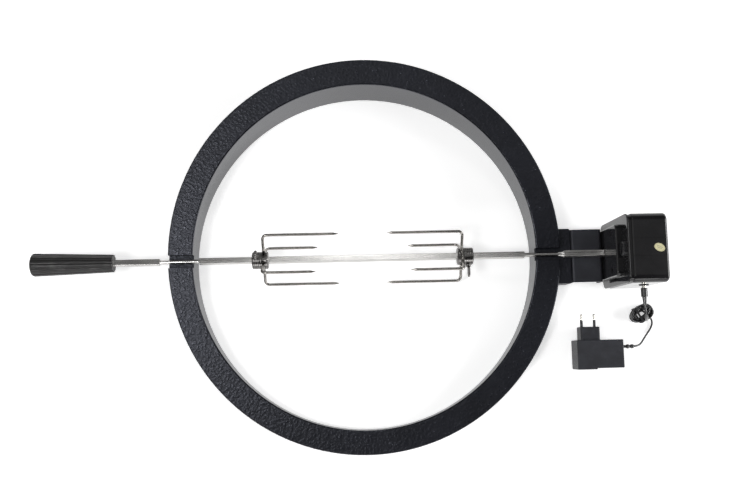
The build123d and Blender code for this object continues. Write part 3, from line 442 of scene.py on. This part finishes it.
def lead_jacket():
    """Soft black cable jacket with a slight sheen."""
    finish = Finish("cable_jacket", Specular_IOR_Level=0.6, Coat_Weight=0.4, Coat_Roughness=0.12)
    tree = finish.tree
    clouds = effect(tree, "grain", Scale=160.0, Detail=4.0, Low=0.4, High=0.7)
    fine = effect(tree, "grain", Scale=1900.0, Detail=2.0)
    finish.colour(
        blend_colours(tree, clouds["Mask"], (0.0085, 0.0085, 0.0095, 1), (0.017, 0.017, 0.019, 1))
    )
    finish.roughness(clouds["Mask"], 0.24, 0.36)
    finish.relief(fine["Height"], 0.00012, 0.6)
    return finish.material


# ---- metals --------------------------------------------------------------------------------------
def drawn_steel(name, dark, light, rough_low, rough_high, along=20.0, across=2200.0):
    """Steel with its grain along X."""
    finish = Finish(name, Metallic=1.0)
    tree = finish.tree
    lines = effect(tree, "brushed", Along=along, Across=across)
    stains = effect(tree, "grain", Scale=26.0, Detail=5.0, Low=0.42, High=0.75)
    base = blend_colours(tree, lines["Streak"], (*dark, 1), (*light, 1))
    finish.colour(blend_colours(tree, stains["Mask"], base, (*[0.72 * value for value in light], 1)))
    finish.roughness(lines["Streak"], rough_low, rough_high)
    finish.relief(lines["Height"], 0.00003, 0.35)
    return finish.material


def turned_steel():
    """Lathe-turned steel: fine rings round the spit's axis, with painted shade darkening their hollows.
    """
    finish = Finish("turned_steel", Metallic=1.0)
    tree = finish.tree
    rings = effect(tree, "turned", Pitch=2600.0)
    stains = effect(tree, "grain", Scale=90.0, Detail=5.0, Low=0.4, High=0.75)
    # The ring hollows get the darker colour: painted shade in the turning grooves.
    base = blend_colours(tree, rings["Ring"], (0.09, 0.088, 0.085, 1), (0.26, 0.25, 0.245, 1))
    finish.colour(blend_colours(tree, stains["Mask"], base, (0.156, 0.150, 0.147, 1)))
    finish.roughness(stains["Mask"], 0.24, 0.42)
    finish.relief(rings["Height"], 0.00005, 0.5)
    return finish.material


def cast_metal(name, dark, light, scale, rough):
    """Plated or cast metal with a cloudy, faintly pitted skin."""
    finish = Finish(name, Metallic=1.0)
    tree = finish.tree
    clouds = effect(tree, "grain", Scale=scale, Detail=5.0, Low=0.35, High=0.7)
    pits = effect(tree, "grain", Scale=scale * 12, Detail=2.0)
    finish.colour(blend_colours(tree, clouds["Mask"], (*dark, 1), (*light, 1)))
    finish.roughness(clouds["Mask"], rough, rough + 0.14)
    finish.relief(pits["Height"], 0.00008, 0.6)
    return finish.material


# ---- sticker -------------------------------------------------------------------------------------
def sticker_paper():
    """Pale cream label with a thin printed border and two plain bars in its middle."""
    low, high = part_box("inspection_sticker")
    middle = (low + high) / 2
    turn = math.radians(25)
    long_half, short_half = 0.0072, 0.0051
    finish = Finish("cream_label", Specular_IOR_Level=0.4)
    tree = finish.tree
    moved = node(
        tree, "ShaderNodeMapping", Vector=place(tree), Location=(-middle.x, -middle.y, -middle.z)
    ).outputs[0]
    turned = node(tree, "ShaderNodeMapping", Vector=moved, Rotation=(0, 0, turn)).outputs[0]
    sides = node(tree, "ShaderNodeSeparateXYZ", Vector=turned).outputs
    across = arithmetic(tree, "DIVIDE", sides["X"], long_half)
    up = arithmetic(tree, "DIVIDE", sides["Y"], short_half)
    across_square = arithmetic(tree, "MULTIPLY", across, across)
    up_square = arithmetic(tree, "MULTIPLY", up, up)
    radial = arithmetic(tree, "SQRT", arithmetic(tree, "ADD", across_square, up_square), 0.0)
    border = arithmetic(tree, "COMPARE", radial, 0.84)
    border.node.inputs[2].default_value = 0.025
    bars = None
    for height, reach in ((0.22, 0.62), (-0.16, 0.46)):
        inside = arithmetic(tree, "COMPARE", up, height)
        inside.node.inputs[2].default_value = 0.07
        wide = arithmetic(tree, "LESS_THAN", arithmetic(tree, "ABSOLUTE", across, 0.0), reach)
        bar = arithmetic(tree, "MULTIPLY", inside, wide)
        bars = bar if bars is None else arithmetic(tree, "ADD", bars, bar)
    fibres = effect(tree, "grain", Scale=900.0, Detail=4.0, Low=0.35, High=0.7)
    paper = blend_colours(tree, fibres["Mask"], (0.60, 0.56, 0.33, 1), (0.72, 0.68, 0.43, 1))
    ink = arithmetic(tree, "MULTIPLY", arithmetic(tree, "MAXIMUM", border, bars), 0.55)
    finish.colour(blend_colours(tree, ink, paper, (0.20, 0.20, 0.16, 1)))
    finish.roughness(fibres["Mask"], 0.42, 0.55)
    finish.relief(fibres["Height"], 0.00005, 0.5)
    return finish.material


# ---- finishes by the record's slots --------------------------------------------------------------
finishes = {
    "ring_paint": ring_paint(),
    "bracket_paint": bracket_paint(),
    "housing_gloss": housing_gloss(),
    "grip_plastic": grip_plastic(),
    "lead_jacket": lead_jacket(),
    "sticker_paper": sticker_paper(),
    "adapter_plastic": moulded(
        "adapter_moulding", (0.0105, 0.0113, 0.0160), (0.0175, 0.0187, 0.0255), 1500.0, 0.00025, 0.5
    ),
    "switch_black": moulded(
        "switch_moulding", (0.009, 0.009, 0.010), (0.016, 0.016, 0.018), 900.0, 0.0001, 0.32
    ),
    "jack_plastic": moulded(
        "jack_moulding", (0.010, 0.010, 0.011), (0.018, 0.018, 0.020), 1200.0, 0.0001, 0.4
    ),
    "sleeve_plastic": moulded(
        "pin_sleeve", (0.009, 0.009, 0.011), (0.017, 0.017, 0.021), 900.0, 0.0001, 0.3
    ),
    "tie_plastic": moulded(
        "tie_moulding", (0.011, 0.011, 0.012), (0.020, 0.020, 0.022), 1100.0, 0.0001, 0.38
    ),
    "gear_plastic": moulded("gear_nylon", (0.60, 0.58, 0.52), (0.72, 0.70, 0.64), 500.0, 0.0001, 0.42),
    "board_green": moulded(
        "circuit_board", (0.020, 0.110, 0.040), (0.035, 0.160, 0.060), 700.0, 0.0001, 0.4
    ),
    "transformer_core": moulded(
        "transformer_core", (0.050, 0.045, 0.040), (0.090, 0.080, 0.070), 400.0, 0.0002, 0.6
    ),
    "spit_steel": drawn_steel(
        "brushed_spit_steel", (0.53, 0.52, 0.505), (0.62, 0.61, 0.595), 0.24, 0.34, 7.0, 3200.0
    ),
    "fork_wire": drawn_steel(
        "polished_fork_wire", (0.27, 0.255, 0.24), (0.36, 0.345, 0.325), 0.18, 0.26, 30.0, 1600.0
    ),
    "insert_steel": drawn_steel("plain_steel", (0.40, 0.39, 0.38), (0.58, 0.57, 0.55), 0.24, 0.4),
    "turned_steel": turned_steel(),
    "plated_fastener": cast_metal("zinc_plate", (0.46, 0.45, 0.42), (0.66, 0.65, 0.61), 130.0, 0.24),
    "black_screw": cast_metal(
        "blackened_screw", (0.020, 0.020, 0.022), (0.050, 0.050, 0.054), 200.0, 0.3
    ),
    "bush_bronze": cast_metal("sintered_bronze", (0.34, 0.20, 0.09), (0.50, 0.32, 0.15), 220.0, 0.32),
    "motor_can": cast_metal("drawn_motor_can", (0.48, 0.48, 0.47), (0.62, 0.62, 0.61), 80.0, 0.26),
    "contact_metal": cast_metal("nickel_contact", (0.62, 0.60, 0.56), (0.80, 0.78, 0.74), 160.0, 0.14),
}

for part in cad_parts.values():
    part.data.materials[0] = finishes[part.data.materials[0].name.split(".")[0]]


# ---- floor and light -----------------------------------------------------------------------------
def make_floor():
    bpy.ops.object.select_all(action="DESELECT")
    bpy.ops.mesh.primitive_plane_add(size=14, location=(0, 0, -0.0003))
    floor = bpy.context.object
    floor.name = "studio_floor"
    finish = Finish("pale_floor", Roughness=0.9, Specular_IOR_Level=0.1, Emission_Strength=0.5)
    finish.shader.inputs["Emission Color"].default_value = (1, 1, 1, 1)
    finish.shader.inputs["Base Color"].default_value = (0.93, 0.93, 0.93, 1)
    floor.data.materials.append(finish.material)


def soft_light(name, spot, aim, wide, tall, watts):
    data = bpy.data.lights.new(name, "AREA")
    data.shape = "RECTANGLE"
    data.size, data.size_y = wide, tall
    data.energy = watts
    light = bpy.data.objects.new(name, data)
    scene.collection.objects.link(light)
    light.location = spot
    light.rotation_euler = (Vector(aim) - Vector(spot)).to_track_quat("-Z", "Y").to_euler()


def make_world():
    """A pale ceiling, dimmer to the front, back and motor, over walls that are dark on the left."""
    world = bpy.data.worlds.new("studio")
    scene.world = world
    world.use_nodes = True
    tree = world.node_tree
    way = node(
        tree, "ShaderNodeSeparateXYZ", Vector=node(tree, "ShaderNodeTexCoord").outputs["Generated"]
    ).outputs
    front_fall = span(tree, way["Y"], -0.24, 0.14, 0.0, 0.62)
    motor_fall = span(tree, way["X"], 0.08, 0.36, 1.0, 0.4)
    back_fall = span(tree, way["Y"], 0.2, 0.42, 1.0, 0.15)
    front_and_motor = arithmetic(tree, "MULTIPLY", front_fall, motor_fall)
    ceiling = arithmetic(tree, "MULTIPLY", front_and_motor, back_fall)
    walls = span(tree, way["X"], -0.8, -0.1, 0.05, 1.0)
    low = span(tree, way["Z"], 0.45, 0.1)
    level = arithmetic(
        tree, "ADD", arithmetic(tree, "MULTIPLY", walls, low),
        arithmetic(tree, "MULTIPLY", ceiling, arithmetic(tree, "SUBTRACT", 1.0, low)),
    )
    tree.links.new(
        blend_colours(tree, level, (0, 0, 0, 1), (1.0, 1.0, 1.0, 1)),
        tree.nodes["Background"].inputs["Color"],
    )
    tree.nodes["Background"].inputs["Strength"].default_value = 1.15
    scene.view_settings.view_transform = "Standard"


make_floor()
make_world()
soft_light("key_box", (-0.92, -0.42, 2.1), (-0.1, 0, 0), 0.5, 0.6, 17)
soft_light("spit_box", (0.06, 1.45, 2.1), (0.06, 0, 0), 0.4, 0.5, 4)
soft_light("left_box", (-2.3, -0.4, 1.1), (0, 0, 0), 1.6, 0.8, 3)
soft_light("right_box", (2.4, -0.2, 1.0), (0.1, 0, 0), 1.6, 0.7, 44)
soft_light("front_box", (0.1, -2.4, 1.0), (0.1, 0, 0), 2.4, 0.6, 20)


# ---- pieces that ride with their bodies ----------------------------------------------------------
lead.data.materials.append(finishes["lead_jacket"])
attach(lead, "frame")
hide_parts("lead_drop", "lead_hank", "lead_tail")
